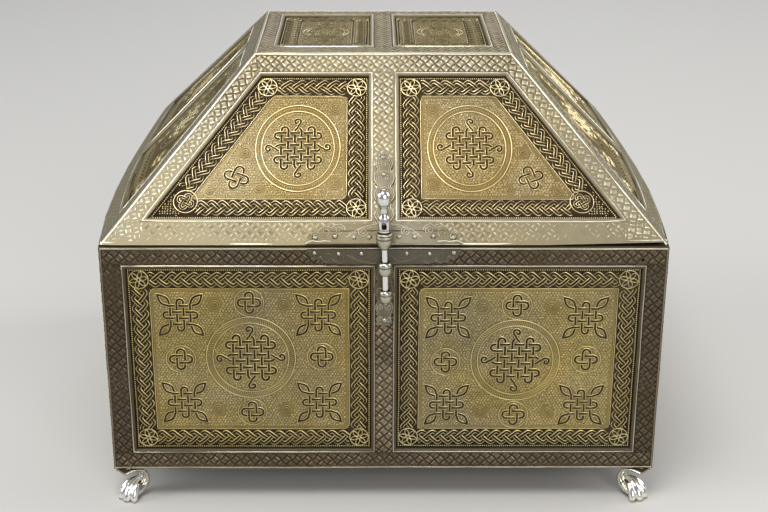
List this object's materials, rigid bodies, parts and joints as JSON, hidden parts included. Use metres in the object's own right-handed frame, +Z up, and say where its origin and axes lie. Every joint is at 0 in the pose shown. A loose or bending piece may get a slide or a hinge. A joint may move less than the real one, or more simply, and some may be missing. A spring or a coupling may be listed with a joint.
{
  "type": "reliquary casket",
  "caption": "Small rectangular casket on paw feet with a hipped lift-off lid, interlace filigree panels and a front pin clasp.",
  "frame": {"origin": "middle of the casket on the plane that its feet stand on", "axes": "+X to the right seen from the front, +Y to the back, +Z up; the clasp is on the -Y side"},
  "size_m": [0.2076, 0.1896, 0.1584],
  "materials": {
    "box_frame": "woven-pattern punched silver-gilt, gilding worn, dark patina in the crevices",
    "lid_frame": "woven-pattern punched silver-gilt, brighter and more polished than the box, worn edges",
    "box_filigree": "silver-gilt filigree wire with dark brown grounds",
    "lid_filigree": "silver-gilt filigree wire with dark brown grounds",
    "feet": "cast silver, toes polished, legs gilt",
    "lid_clasp": "chased silver with traces of gilding and brown tarnish",
    "box_clasp": "engraved silver, dark patina",
    "pin": "polished silver, rubbed"
  },
  "bodies": {
    "root": {"casket_box": "box_frame", "lid_shell": "lid_frame", "panel_front_left": "box_filigree", "panel_front_right": "box_filigree", "panel_right_left": "box_filigree", "panel_right_right": "box_filigree", "panel_back_left": "box_filigree", "panel_back_right": "box_filigree", "panel_left_left": "box_filigree", "panel_left_right": "box_filigree", "lid_panel_front_left": "lid_filigree", "lid_panel_front_right": "lid_filigree", "lid_panel_right_left": "lid_filigree", "lid_panel_right_right": "lid_filigree", "lid_panel_back_left": "lid_filigree", "lid_panel_back_right": "lid_filigree", "lid_panel_left_left": "lid_filigree", "lid_panel_left_right": "lid_filigree", "lid_panel_top_left": "lid_filigree", "lid_panel_top_right": "lid_filigree", "foot_front_left": "feet", "foot_front_right": "feet", "foot_back_right": "feet", "foot_back_left": "feet", "lid_clasp_plate": "lid_clasp", "box_clasp_plate": "box_clasp", "locking_pin": "pin"}
  },
  "joints": []
}
